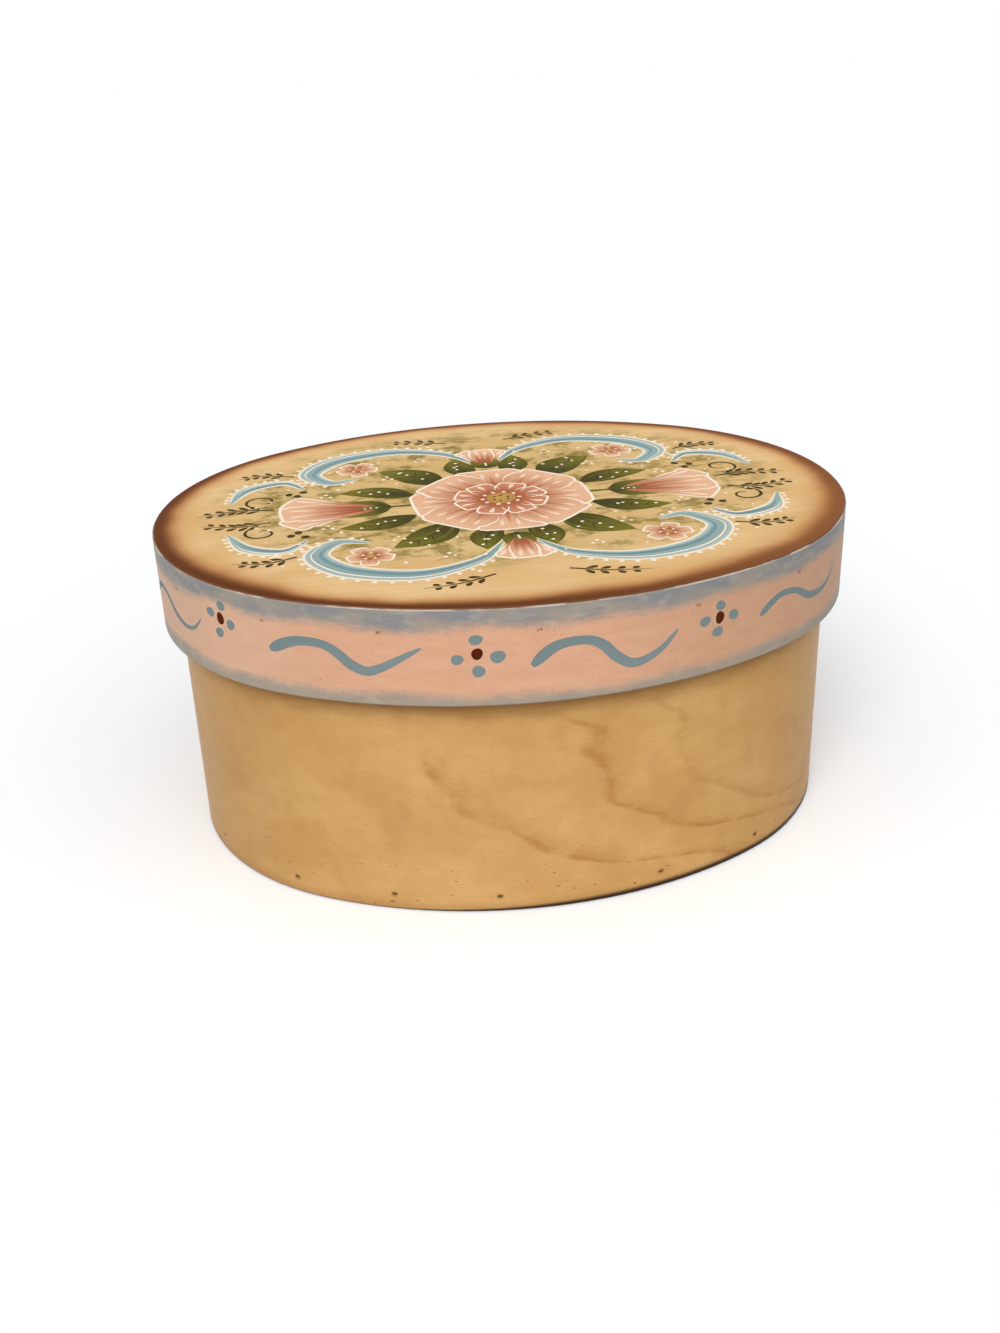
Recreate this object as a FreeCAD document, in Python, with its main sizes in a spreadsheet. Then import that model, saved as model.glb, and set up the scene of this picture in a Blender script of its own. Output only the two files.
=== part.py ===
# Oval bentwood box with a cap lid that lifts straight off.
# Two thin wood bands are bent round to an oval, each with its ends lapped at the back, and an oval
# board closes each band. Small brads go through the bands into the edges of the boards.
# Frame: origin at the centre of the foot on the table, X along the box's length, -Y to the front,
# +Z up. All sizes are in millimetres.

import FreeCAD
import Part
import Sketcher
import math
import os

Vector = FreeCAD.Vector
UP = Vector(0, 0, 1)
TOUCH = 1e-6  # levels closer than this are one level

doc = FreeCAD.newDocument("oval_box")

# Driving sizes: name, value, meaning
DRIVING = [
    ("box_length", 181.0, "box band, outside, end to end"),
    ("box_width", 143.0, "box band, outside, front to back"),
    ("box_bow", 7.0, "how far the oval's long sides bow out past its end arcs"),
    ("box_height", 78.0, "box band, foot to top edge"),
    ("box_wood", 2.8, "thickness of the box band"),
    ("box_board", 9.5, "thickness of the bottom board"),
    ("lid_height", 25.4, "lid band, lower edge to top"),
    ("lid_wood", 2.8, "thickness of the lid band"),
    ("lid_board", 9.5, "thickness of the lid board"),
    ("lid_clearance", 1.7, "gap all round between the lid band and the box band"),
    ("glue_line", 0.05, "gap between a board's edge and its band"),
    ("lap_length", 36.0, "length of each band's lap at the back"),
    ("lap_edge", 0.8, "thickness of the band's planed outer end"),
    ("lap_setback", 0.9, "from the lap's upper and lower ends to the band's edges"),
    ("edge_bevel", 0.5, "bevel that takes the sharpness off the bands' open edges"),
    ("brad_width", 1.3, "width of a brad's flat wire, along the band"),
    ("brad_height", 0.9, "height of a brad's flat wire"),
    ("brad_length", 14.0, "brad, blunt end to point"),
    ("brad_point", 1.6, "length of a brad's chisel point"),
    ("brad_set", 0.35, "how far a brad is driven below the wood"),
    ("tack_head", 2.2, "diameter of a lap tack's head"),
    ("tack_head_depth", 0.5, "depth of a lap tack's head"),
    ("tack_shank", 1.0, "diameter of a lap tack's shank"),
    ("tack_length", 3.0, "lap tack, head to end, less than the lap's thickness"),
    ("tack_set", 0.1, "how far a lap tack's head is driven below the wood"),
    ("tack_inset", 5.0, "from the lap's open end to its tacks, and from their row's ends to the edges"),
    ("lid_brad_margin", 3.2, "lid brads above the underside of the lid board"),
    ("box_brad_count", 16, "brads round the bottom board"),
    ("lid_brad_count", 16, "brads round the lid board"),
    ("box_tack_count", 4, "tacks in the box band's lap"),
    ("lid_tack_count", 2, "tacks in the lid band's lap"),
]

# The brads were set by eye: these stand at the front, measured along the band's outer face from the
# middle of the front, towards +X. The others divide the rest of the way round evenly.
BOX_FRONT_BRADS = (-69.0, -41.0, -13.5, 30.0, 62.0)
LID_FRONT_BRADS = (-70.0, -40.0, -2.5, 37.5)

# Each outline is the box band's outer oval moved outwards or inwards, so all share their arcs'
# centres.
OUTLINES = {
    "box_outer": "",
    "box_inner": " - box_wood",
    "box_board_edge": " - box_wood - glue_line",
    "lid_outer": " + lid_clearance + lid_wood",
    "lid_inner": " + lid_clearance",
    "lid_board_edge": " + lid_clearance - glue_line",
}

# Sizes worked out from the driving ones: name, formula, meaning
DERIVED = [
    ("end_radius", "=box_width / 2 - box_bow", "outer radius of the oval's two ends"),
    ("end_centre", "=box_length / 2 - end_radius", "end arcs' centres, from the middle"),
    ("side_radius",
     "=((box_length / 2) ^ 2 + (box_width / 2) ^ 2 - box_length * end_radius) / (2 * box_bow)",
     "outer radius of the oval's two long sides"),
    ("side_centre", "=side_radius - box_width / 2", "side arcs' centres, from the middle"),
    ("lid_foot", "=box_height + lid_board - lid_height", "height of the lid band's lower edge"),
    ("box_brad_level", "=box_board / 2", "height of the box brads"),
    ("lid_brad_level", "=box_height + lid_brad_margin", "height of the lid brads"),
    ("lap_bite", "=lap_edge / 8", "how deep the lap's buried end starts below the band's face"),
    ("hole_mouth", "=-lap_edge - edge_bevel", "holes start this deep, so clear of the lap's face"),
    ("brad_reach", "=brad_width / 2", "half a brad's width"),
    ("brad_taper", "=brad_set + brad_length - brad_point", "depth where a brad's point starts"),
    ("brad_tip", "=brad_set + brad_length", "depth of a brad's point"),
    ("tack_head_reach", "=tack_head / 2", "radius of a tack's head"),
    ("tack_neck", "=tack_set + tack_head_depth", "depth of the underside of a tack's head"),
    ("tack_reach", "=tack_shank / 2", "radius of a tack's shank"),
    ("tack_tip", "=tack_set + tack_length", "depth of a tack's blunt end"),
]
for outline, shift in OUTLINES.items():
    DERIVED.append((outline + "_end", "=end_radius" + shift, "end arcs"))
    DERIVED.append((outline + "_side", "=side_radius" + shift, "side arcs"))

sheet = doc.addObject("Spreadsheet::Sheet", "sizes")
for row, (alias, value, meaning) in enumerate(DRIVING + DERIVED, start=1):
    sheet.set(f"A{row}", meaning)
    sheet.set(f"B{row}", str(value))
    sheet.setAlias(f"B{row}", alias)
doc.recompute()


def size(alias):
    return float(sheet.get(alias))


# Sketch helpers

def new_sketch(body, name, role):
    plane = next(part for part in body.Origin.OriginFeatures if part.Role == role)
    sketch = body.newObject("Sketcher::SketchObject", name)
    sketch.AttachmentSupport = [(plane, "")]
    sketch.MapMode = "FlatFace"
    return sketch


def tie(sketch, kind, *what):
    return sketch.addConstraint(Sketcher.Constraint(kind, *what))


def bind(sketch, formula, kind, *what):
    index = tie(sketch, kind, *what)
    sketch.setExpression(f"Constraints[{index}]", formula)


def add_arc(sketch, centre, radius, start, end):
    circle = Part.Circle(centre, UP, radius)
    return sketch.addGeometry(Part.ArcOfCircle(circle, start, end))


def polar(centre, radius, angle):
    return centre + Vector(radius * math.cos(angle), radius * math.sin(angle), 0)


# The oval: two end arcs and two side arcs that meet tangentially

def side_turn():
    """Half the angle that a side arc covers."""
    return math.atan2(size("end_centre"), size("side_centre"))


def add_end_arcs(sketch, outline):
    """The right and left end arcs, held on the X axis."""
    reach = size("end_centre")
    radius = size(outline + "_end")
    spread = math.pi / 2 - side_turn()
    right = add_arc(sketch, Vector(reach, 0, 0), radius, -spread, spread)
    left = add_arc(sketch, Vector(-reach, 0, 0), radius, math.pi - spread, math.pi + spread)
    tie(sketch, "PointOnObject", right, 3, -1)
    bind(sketch, "sizes.end_centre", "DistanceX", -1, 1, right, 3, reach)
    bind(sketch, f"sizes.{outline}_end", "Radius", right, radius)
    tie(sketch, "Symmetric", right, 3, left, 3, -2)
    tie(sketch, "Equal", right, left)
    return right, left


def add_side_arc(sketch, outline, facing):
    """The back side arc (facing 1) or the front one (facing -1)."""
    centre = Vector(0, -facing * size("side_centre"), 0)
    radius = size(outline + "_side")
    middle = facing * math.pi / 2
    side = add_arc(sketch, centre, radius, middle - side_turn(), middle + side_turn())
    bind(sketch, f"sizes.{outline}_side", "Radius", side, radius)
    return side


def add_oval(sketch, outline):
    right, left = add_end_arcs(sketch, outline)
    back = add_side_arc(sketch, outline, 1)
    front = add_side_arc(sketch, outline, -1)
    for arc, following in ((right, back), (back, left), (left, front), (front, right)):
        tie(sketch, "Tangent", arc, 2, following, 1)


class Lap:
    """The band's outer end, which lies over its inner end at the back: a strip bent to the same
    curve as the oval's side, which rises out of the band's face at -X and stands proud by the
    thickness of its planed end at +X. Its section runs down to the middle of the wood."""

    def __init__(self, outline, wood):
        self.hub = Vector(0, -size("side_centre"), 0)
        self.face = size(outline + "_side")
        self.root = self.face - size(wood) / 2
        spread = math.asin(size("lap_length") / 2 / self.face)
        self.angles = (math.pi / 2 - spread, math.pi / 2 + spread)
        self.tip = polar(self.hub, self.face + size("lap_edge"), self.angles[0])
        self.start = polar(self.hub, self.face - size("lap_bite"), self.angles[1])
        chord = self.start - self.tip
        across = Vector(-chord.y, chord.x, 0).normalize()
        depth = math.sqrt(self.face ** 2 - (chord.Length / 2) ** 2)
        self.centre = (self.start + self.tip) / 2 + across * depth

    def heading(self, point):
        arm = point - self.centre
        return math.atan2(arm.y, arm.x)


def add_lap_section(sketch, outline, wood):
    lap = Lap(outline, wood)
    tip_angle, start_angle = lap.angles
    root = add_arc(sketch, lap.hub, lap.root, tip_angle, start_angle)
    open_end = sketch.addGeometry(Part.LineSegment(polar(lap.hub, lap.root, tip_angle), lap.tip))
    face = add_arc(sketch, lap.centre, lap.face, lap.heading(lap.tip), lap.heading(lap.start))
    buried_end = sketch.addGeometry(
        Part.LineSegment(lap.start, polar(lap.hub, lap.root, start_angle)))
    tie(sketch, "Coincident", root, 1, open_end, 1)
    tie(sketch, "Coincident", open_end, 2, face, 1)
    tie(sketch, "Coincident", face, 2, buried_end, 1)
    tie(sketch, "Coincident", buried_end, 2, root, 2)
    tie(sketch, "PointOnObject", root, 3, -2)
    tie(sketch, "PointOnObject", root, 3, open_end)
    tie(sketch, "PointOnObject", root, 3, buried_end)
    bind(sketch, "sizes.side_centre", "DistanceY", root, 3, -1, 1, size("side_centre"))
    bind(sketch, f"sizes.{outline}_side - sizes.{wood} / 2", "Radius", root, lap.root)
    bind(sketch, f"sizes.{outline}_side", "Radius", face, lap.face)
    bind(sketch, f"sizes.{wood} / 2 + sizes.lap_edge", "Distance", open_end,
         lap.face + size("lap_edge") - lap.root)
    bind(sketch, f"sizes.{wood} / 2 - sizes.lap_bite", "Distance", buried_end,
         lap.face - size("lap_bite") - lap.root)
    bind(sketch, f"sizes.lap_length / 2 * (1 - sizes.{wood} / 2 / sizes.{outline}_side)",
         "DistanceX", -1, 1, root, 1, lap.root * math.cos(tip_angle))
    bind(sketch, f"sizes.lap_length / 2 * (1 - sizes.{wood} / 2 / sizes.{outline}_side)",
         "DistanceX", root, 2, -1, 1, lap.root * math.cos(tip_angle))


# Bands and boards

def pad(body, sketch, height):
    feature = body.newObject("PartDesign::Pad", sketch.Name + "_pad")
    feature.Profile = sketch
    feature.setExpression("Length", height)
    sketch.Visibility = False
    doc.recompute()
    return feature


def rim(shape, level, side):
    """Names of the edges round the flat face at this level: the outer wire or the inner one."""
    face = next(f for f in shape.Faces if f.Surface.TypeId == "Part::GeomPlane"
                and abs(f.BoundBox.ZMin - level) < TOUCH and f.BoundBox.ZLength < TOUCH)
    wire = face.OuterWire
    if side == "inner":
        wire = next(w for w in face.Wires if not w.isSame(face.OuterWire))
    return [f"Edge{number}" for number, edge in enumerate(shape.Edges, start=1)
            if any(edge.isSame(other) for other in wire.Edges)]


def make_band(name, outer, inner, wood, height, foot, bevelled):
    """A bent band: an oval ring padded up from its foot, with the edges that hands meet bevelled,
    and its lap on the back."""
    body = doc.addObject("PartDesign::Body", name + "_bent")
    body.setExpression("Placement.Base.z", foot)
    plan = new_sketch(body, name + "_plan", "XY_Plane")
    add_oval(plan, outer)
    add_oval(plan, inner)
    ring = pad(body, plan, "sizes." + height)
    levels = {"foot": 0.0, "top": size(height)}
    edges = []
    for level, side in bevelled:
        edges += rim(ring.Shape, levels[level], side)
    bevel = body.newObject("PartDesign::Chamfer", name + "_bevel")
    bevel.Base = (ring, edges)
    bevel.setExpression("Size", "sizes.edge_bevel")
    doc.recompute()
    section = new_sketch(body, name + "_lap", "XY_Plane")
    section.setExpression("AttachmentOffset.Base.z", "sizes.lap_setback * 1 mm")
    add_lap_section(section, outer, wood)
    body.Tip = pad(body, section, f"sizes.{height} - 2 * sizes.lap_setback")
    doc.recompute()
    return body


def make_board(name, outline, thickness, foot):
    body = doc.addObject("PartDesign::Body", name + "_sawn")
    body.setExpression("Placement.Base.z", foot)
    sketch = new_sketch(body, name + "_plan", "XY_Plane")
    add_oval(sketch, outline)
    body.Tip = pad(body, sketch, "sizes." + thickness)
    doc.recompute()
    return body


# Brads and tacks, driven along -Z into wood whose face is at z = 0

def add_section(body, corners):
    """A closed outline on the XZ plane. Each corner is given by the names of its reach, which may
    be taken to the left, or None on the axis, and of its depth below the wood's face."""
    sketch = new_sketch(body, body.Name + "_section", "XZ_Plane")
    points = [Vector(side * size(reach) if reach else 0, -size(depth), 0)
              for side, reach, depth in corners]
    lines = [sketch.addGeometry(Part.LineSegment(start, end))
             for start, end in zip(points, points[1:] + points[:1])]
    for line, following in zip(lines, lines[1:] + lines[:1]):
        tie(sketch, "Coincident", line, 2, following, 1)
    for line, point, (side, reach, depth) in zip(lines, points, corners):
        if reach:
            ends = (-1, 1, line, 1) if side > 0 else (line, 1, -1, 1)
            bind(sketch, "sizes." + reach, "DistanceX", *ends, abs(point.x))
        else:
            tie(sketch, "PointOnObject", line, 1, -2)
        bind(sketch, "sizes." + depth, "DistanceY", line, 1, -1, 1, -point.y)
    return sketch


def make_brad(name, top):
    """A headless brad of flat wire with a chisel point."""
    body = doc.addObject("PartDesign::Body", name)
    section = add_section(body, [
        (-1, "brad_reach", top), (-1, "brad_reach", "brad_taper"), (1, None, "brad_tip"),
        (1, "brad_reach", "brad_taper"), (1, "brad_reach", top)])
    wire = pad(body, section, "sizes.brad_height")
    wire.Midplane = True
    body.Tip = wire
    doc.recompute()
    return body


def make_tack(name, top):
    """A tack with a flat head, turned about its axis."""
    body = doc.addObject("PartDesign::Body", name)
    turned = body.newObject("PartDesign::Revolution", name + "_turned")
    turned.Profile = add_section(body, [
        (1, None, top), (1, "tack_head_reach", top), (1, "tack_head_reach", "tack_neck"),
        (1, "tack_reach", "tack_neck"), (1, "tack_reach", "tack_tip"), (1, None, "tack_tip")])
    turned.ReferenceAxis = (turned.Profile[0], ["V_Axis"])
    turned.Angle = 360
    body.Tip = turned
    doc.recompute()
    return body


def repeat(name, pin, stations):
    """One copy of the pin at each station: a point on the wood's face and the outward normal. The
    pin's X runs along the band and its Y upwards."""
    copies = []
    for point, normal in stations:
        along = UP.cross(normal)
        copy = pin.Shape.copy()
        copy.Placement = FreeCAD.Placement(point, FreeCAD.Rotation(along, UP, normal, "ZXY"))
        copies.append(copy)
    group = doc.addObject("Part::Feature", name)
    group.Shape = Part.makeCompound(copies)
    return group


def on_oval(outline, run, level):
    """The station that lies this far along the outline from the middle of the front."""
    turn = side_turn()
    reach, depth = size("end_centre"), size("side_centre")
    end, side = size(outline + "_end"), size(outline + "_side")
    spread = math.pi / 2 - turn
    stretches = [
        (Vector(0, depth, level), side, -math.pi / 2, turn),
        (Vector(reach, 0, level), end, -spread, 2 * spread),
        (Vector(0, -depth, level), side, spread, 2 * turn),
        (Vector(-reach, 0, level), end, math.pi - spread, 2 * spread),
        (Vector(0, depth, level), side, math.pi + spread, turn),
    ]
    run = run % sum(radius * angle for _, radius, _, angle in stretches)
    for centre, radius, start, angle in stretches:
        if run <= radius * angle:
            break
        run -= radius * angle
    heading = start + run / radius
    return polar(centre, radius, heading), polar(Vector(), 1, heading)


def round_length(outline):
    turn = side_turn()
    spread = math.pi / 2 - turn
    return 4 * (turn * size(outline + "_side") + spread * size(outline + "_end"))


def brad_stations(outline, front, count, level):
    rest = round_length(outline) + front[0] - front[-1]
    others = int(count) - len(front)
    runs = list(front)
    runs += [front[-1] + rest * number / (others + 1) for number in range(1, others + 1)]
    return [on_oval(outline, run, level) for run in runs]


def tack_stations(outline, wood, count, low, high):
    """An upright row of tacks near the open end of a lap, between two levels."""
    lap = Lap(outline, wood)
    heading = lap.heading(lap.tip) + size("tack_inset") / lap.face
    low += size("tack_inset")
    high -= size("tack_inset")
    stations = []
    for number in range(int(count)):
        level = Vector(0, 0, low + (high - low) * number / max(int(count) - 1, 1))
        stations.append((polar(lap.centre, lap.face, heading) + level,
                         polar(Vector(), 1, heading)))
    return stations


def cut(name, base, tools):
    holes = doc.addObject("Part::Compound", name + "_holes")
    holes.Links = tools
    result = doc.addObject("Part::Cut", name)
    result.Base = base
    result.Tool = holes
    doc.recompute()
    return result


# The brads and tacks, and the holes that they leave, which start outside the wood
brad = make_brad("brad", "brad_set")
brad_hole = make_brad("brad_hole", "hole_mouth")
tack = make_tack("tack", "tack_set")
tack_hole = make_tack("tack_hole", "hole_mouth")

# The box
box_brad_places = brad_stations(
    "box_outer", BOX_FRONT_BRADS, size("box_brad_count"), size("box_brad_level"))
box_tack_places = tack_stations(
    "box_outer", "box_wood", size("box_tack_count"), size("box_board"), size("box_height"))
box_brads = repeat("box_brads", brad, box_brad_places)
box_lap_tacks = repeat("box_lap_tacks", tack, box_tack_places)
box_brad_holes = repeat("box_brad_holes", brad_hole, box_brad_places)
box_tack_holes = repeat("box_tack_holes", tack_hole, box_tack_places)
box_side = cut(
    "box_side",
    make_band("box_side", "box_outer", "box_inner", "box_wood", "box_height", "0 mm",
              (("foot", "outer"), ("top", "outer"), ("top", "inner"))),
    [box_brad_holes, box_tack_holes])
box_bottom = cut(
    "box_bottom",
    make_board("box_bottom", "box_board_edge", "box_board", "0 mm"),
    [box_brad_holes])

# The lid, which rests with its board on the box band's top edge
lid_brad_places = brad_stations(
    "lid_outer", LID_FRONT_BRADS, size("lid_brad_count"), size("lid_brad_level"))
lid_tack_places = tack_stations(
    "lid_outer", "lid_wood", size("lid_tack_count"), size("lid_foot"), size("box_height"))
lid_brads = repeat("lid_brads", brad, lid_brad_places)
lid_lap_tacks = repeat("lid_lap_tacks", tack, lid_tack_places)
lid_brad_holes = repeat("lid_brad_holes", brad_hole, lid_brad_places)
lid_tack_holes = repeat("lid_tack_holes", tack_hole, lid_tack_places)
lid_side = cut(
    "lid_side",
    make_band("lid_side", "lid_outer", "lid_inner", "lid_wood", "lid_height",
              "sizes.lid_foot * 1 mm",
              (("foot", "outer"), ("foot", "inner"), ("top", "outer"))),
    [lid_brad_holes, lid_tack_holes])
lid_board = cut(
    "lid_board",
    make_board("lid_board", "lid_board_edge", "lid_board", "sizes.box_height * 1 mm"),
    [lid_brad_holes])

doc.recompute()

failed = [item.Name for item in doc.Objects
          if "Invalid" in item.State or "Error" in item.State]
if failed:
    raise RuntimeError(f"failed objects: {failed}")

sub_parts = [box_side, box_bottom, box_brads, box_lap_tacks,
             lid_side, lid_board, lid_brads, lid_lap_tacks]
for item in sub_parts:
    if item.Shape.isNull() or not item.Shape.isValid():
        raise RuntimeError(f"{item.Label} has no valid shape")

os.makedirs("parts", exist_ok=True)
for item in sub_parts:
    box = item.Shape.optimalBoundingBox(False)
    item.Shape.exportStep(f"parts/{item.Label}.step")
    print(f"{item.Label}: {len(item.Shape.Solids)} solids, {item.Shape.Volume:.1f} mm3, "
          f"{box.XLength:.2f} x {box.YLength:.2f} x {box.ZLength:.2f}, z {box.ZMin:.2f} to {box.ZMax:.2f}")
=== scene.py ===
# Looks of an oval bentwood box with a painted cap lid: varnished birch, a painted lid band, and a lid
# top with a sponged wash, a shaded rim and a symmetrical flower design in brush strokes.
# Lengths are in millimetres, as in the sizes below, and MM turns them into Blender's metres.

import functools
import itertools
import math
import random

import bmesh
import bpy
from mathutils import Matrix, Vector


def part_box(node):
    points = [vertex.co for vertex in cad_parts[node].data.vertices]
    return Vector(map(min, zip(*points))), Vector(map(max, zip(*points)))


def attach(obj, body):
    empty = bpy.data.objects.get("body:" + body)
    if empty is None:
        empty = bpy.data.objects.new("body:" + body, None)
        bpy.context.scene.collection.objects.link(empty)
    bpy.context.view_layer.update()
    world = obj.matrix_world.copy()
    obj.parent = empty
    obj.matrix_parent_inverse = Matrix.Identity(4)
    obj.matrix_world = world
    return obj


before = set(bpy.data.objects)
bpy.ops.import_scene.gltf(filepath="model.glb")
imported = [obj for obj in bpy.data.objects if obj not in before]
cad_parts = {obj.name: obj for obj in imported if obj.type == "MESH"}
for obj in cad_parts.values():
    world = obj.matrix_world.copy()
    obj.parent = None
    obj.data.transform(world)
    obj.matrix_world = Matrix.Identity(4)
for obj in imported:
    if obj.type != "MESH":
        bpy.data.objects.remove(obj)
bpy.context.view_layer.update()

MM = 0.001
scene = bpy.context.scene
chance = random.Random(11)


def level(node, top):
    """The height of a node's top or underside, in millimetres."""
    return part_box(node)[1 if top else 0].z / MM


LID_TOP = level("lid_side", True)
LID_FOOT = level("lid_side", False)
BOX_TOP = level("box_side", True)
BOW = 7.0            # how far the ovals' long sides bow out past their end arcs
BEVEL = 0.5          # on the bands' open edges
LAP_HALF = 18.0      # the laps reach this far each side of the middle of the back
LAP_RISE = (-0.1, 0.8)   # the lap's face over the band's, at its buried end and at its open end
FILM = 0.003         # thickness of one coat of paint
SINK = 0.06          # a stroke's foot lies this far inside the surface


class Oval:
    """A four-arc oval of this half length and half width."""

    def __init__(self, half_length, half_width):
        self.end_radius = half_width - BOW
        self.end_centre = half_length - self.end_radius
        self.side_radius = (
            half_length ** 2 + half_width ** 2 - 2 * half_length * self.end_radius) / (2 * BOW)
        self.side_centre = self.side_radius - half_width
        self.turn = math.atan2(self.end_centre, self.side_centre)
        self.quarter = (self.side_radius * self.turn
                        + self.end_radius * (math.pi / 2 - self.turn))

    def at(self, run, out=0.0):
        """The point this far round from the middle of the front, towards +X, and this far outside
        the oval."""
        whole = 4 * self.quarter
        run = (run + whole / 2) % whole - whole / 2
        length = abs(run)
        behind = length > self.quarter
        if behind:
            length = whole / 2 - length
        side = self.side_radius * self.turn
        if length <= side:
            angle = length / self.side_radius
            x = (self.side_radius + out) * math.sin(angle)
            y = (self.side_radius + out) * math.cos(angle) - self.side_centre
        else:
            angle = math.pi / 2 - self.turn - (length - side) / self.end_radius
            x = self.end_centre + (self.end_radius + out) * math.cos(angle)
            y = (self.end_radius + out) * math.sin(angle)
        return math.copysign(x, run), y if behind else -y


LID = Oval(95.0, 76.0)
BOX = Oval(90.5, 71.5)


def srgb(red, green, blue):
    """A colour written as a screen shows it, from 0 to 255."""
    def linear(value):
        value /= 255
        return value / 12.92 if value <= 0.04045 else ((value + 0.055) / 1.055) ** 2.4
    return linear(red), linear(green), linear(blue), 1.0


# Materials

class Tree:
    """Short ways to add nodes. A value is a number, another node's output, a linear colour of four
    parts, or one of three as a screen shows it."""

    def __init__(self, tree):
        self.tree = tree

    def feed(self, socket, value):
        if isinstance(value, bpy.types.NodeSocket):
            self.tree.links.new(value, socket)
        elif isinstance(value, tuple) and len(value) == 3:
            socket.default_value = srgb(*value)
        elif value is not None:
            socket.default_value = value

    def add(self, kind, values=(), **settings):
        node = self.tree.nodes.new("ShaderNode" + kind)
        for name, setting in settings.items():
            setattr(node, name, setting)
        for socket, value in zip(node.inputs, values):
            self.feed(socket, value)
        return node

    def math(self, operation, *values):
        return self.add("Math", values, operation=operation).outputs[0]

    def chain(self, operation, values):
        return functools.reduce(lambda first, second: self.math(operation, first, second), values)

    def plus(self, *values):
        return self.chain("ADD", values)

    def minus(self, *values):
        return self.chain("SUBTRACT", values)

    def times(self, *values):
        return self.chain("MULTIPLY", values)

    def over(self, value, size):
        return self.math("DIVIDE", value, size)

    def vector(self, *parts):
        """A vector of three parts. A pair is an output and the size to divide it by."""
        parts = [self.over(*part) if isinstance(part, tuple) else part for part in parts]
        return self.add("CombineXYZ", parts).outputs[0]

    def blend(self, share, first, second):
        """A number between two."""
        return self.add("Mix", (share, None, first, second), data_type="FLOAT").outputs[0]

    def mix(self, share, first, second):
        """A colour between two. The node's inputs for colours come after those for others."""
        values = (share, None, None, None, None, None, first, second)
        return self.add("Mix", values, data_type="RGBA").outputs[2]

    def noise(self, vector, detail=2.0, roughness=0.5):
        """Noise from 0 to 1 whose features are about one unit of the vector across."""
        node = self.add("TexNoise")
        for name, value in (("Vector", vector), ("Scale", 1.0), ("Detail", detail),
                            ("Roughness", roughness)):
            self.feed(node.inputs[name], value)
        return node.outputs["Fac"]

    def patches(self, x, y, z=0.0, low=0.4, high=0.6, **settings):
        """Noise with its middle range spread out from 0 to 1."""
        return self.rise(self.noise(self.vector(x, y, z), **settings), low, high)

    def rise(self, value, start, end, low=0.0, high=1.0):
        """From low to high, smoothly, as value goes from start to end."""
        values = (value, start, end, low, high)
        return self.add("MapRange", values, interpolation_type="SMOOTHSTEP").outputs[0]

    def curve(self, value, points):
        """A hand-drawn curve over the values that its points cover."""
        start = points[0][0]
        span = points[-1][0] - start
        share = self.over(self.minus(value, start), span)
        node = self.add("FloatCurve", (1.0, share))
        drawn = node.mapping.curves[0].points
        for number, (x, y) in enumerate(points):
            place = ((x - start) / span, y)
            if number < 2:
                drawn[number].location = place
            else:
                drawn.new(*place)
        node.mapping.update()
        return node.outputs[0]

    def place(self):
        """The object's own X, Y and Z, in millimetres."""
        split = self.add("SeparateXYZ", (self.add("TexCoord").outputs["Object"],))
        return [self.times(output, 1 / MM) for output in split.outputs]

    def direct(self):
        """1 where the camera looks straight or over a gloss, and 0 where light only bounces."""
        seen = self.add("LightPath").outputs
        return self.math("MAXIMUM", seen["Is Camera Ray"], seen["Is Glossy Ray"])


def oval_group(name, oval):
    """A node group that says where a point lies on a band: how far round it is from the middle of
    the front, how far outside the oval, and how high."""
    group = bpy.data.node_groups.new(name, "ShaderNodeTree")
    for output in ("Round", "Out", "Height"):
        group.interface.new_socket(output, in_out="OUTPUT", socket_type="NodeSocketFloat")
    t = Tree(group)
    x, y, z = t.place()
    across = t.math("ABSOLUTE", x)
    deep = t.math("ABSOLUTE", y)
    from_side = t.plus(deep, oval.side_centre)
    from_end = t.minus(across, oval.end_centre)
    side_angle = t.math("ARCTAN2", across, from_side)
    end_angle = t.math("ARCTAN2", deep, from_end)
    side_run = t.times(t.math("MINIMUM", side_angle, oval.turn), oval.side_radius)
    left = t.minus(math.pi / 2 - oval.turn, end_angle)
    end_run = t.times(t.math("MAXIMUM", left, 0.0), oval.end_radius)
    quarter_run = t.plus(side_run, end_run)
    behind = t.math("GREATER_THAN", y, 0.0)
    back_run = t.minus(2 * oval.quarter, quarter_run)
    run = t.blend(behind, quarter_run, back_run)
    signed = t.times(run, t.math("SIGN", x))
    after_lap = t.math("GREATER_THAN", signed, 2 * oval.quarter - LAP_HALF)
    signed = t.minus(signed, t.times(after_lap, 4 * oval.quarter))

    def beyond(reach, depth, radius):
        square = t.plus(t.math("POWER", reach, 2.0), t.math("POWER", depth, 2.0))
        return t.minus(t.math("SQRT", square), radius)

    on_end = t.math("GREATER_THAN", side_angle, oval.turn)
    out = t.blend(on_end, beyond(across, from_side, oval.side_radius),
                  beyond(from_end, deep, oval.end_radius))
    ends = group.nodes.new("NodeGroupOutput")
    for number, value in enumerate((signed, out, z)):
        group.links.new(value, ends.inputs[number])
    return group


LID_PLACE = oval_group("lid_place", LID)
BOX_PLACE = oval_group("box_place", BOX)


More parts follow.
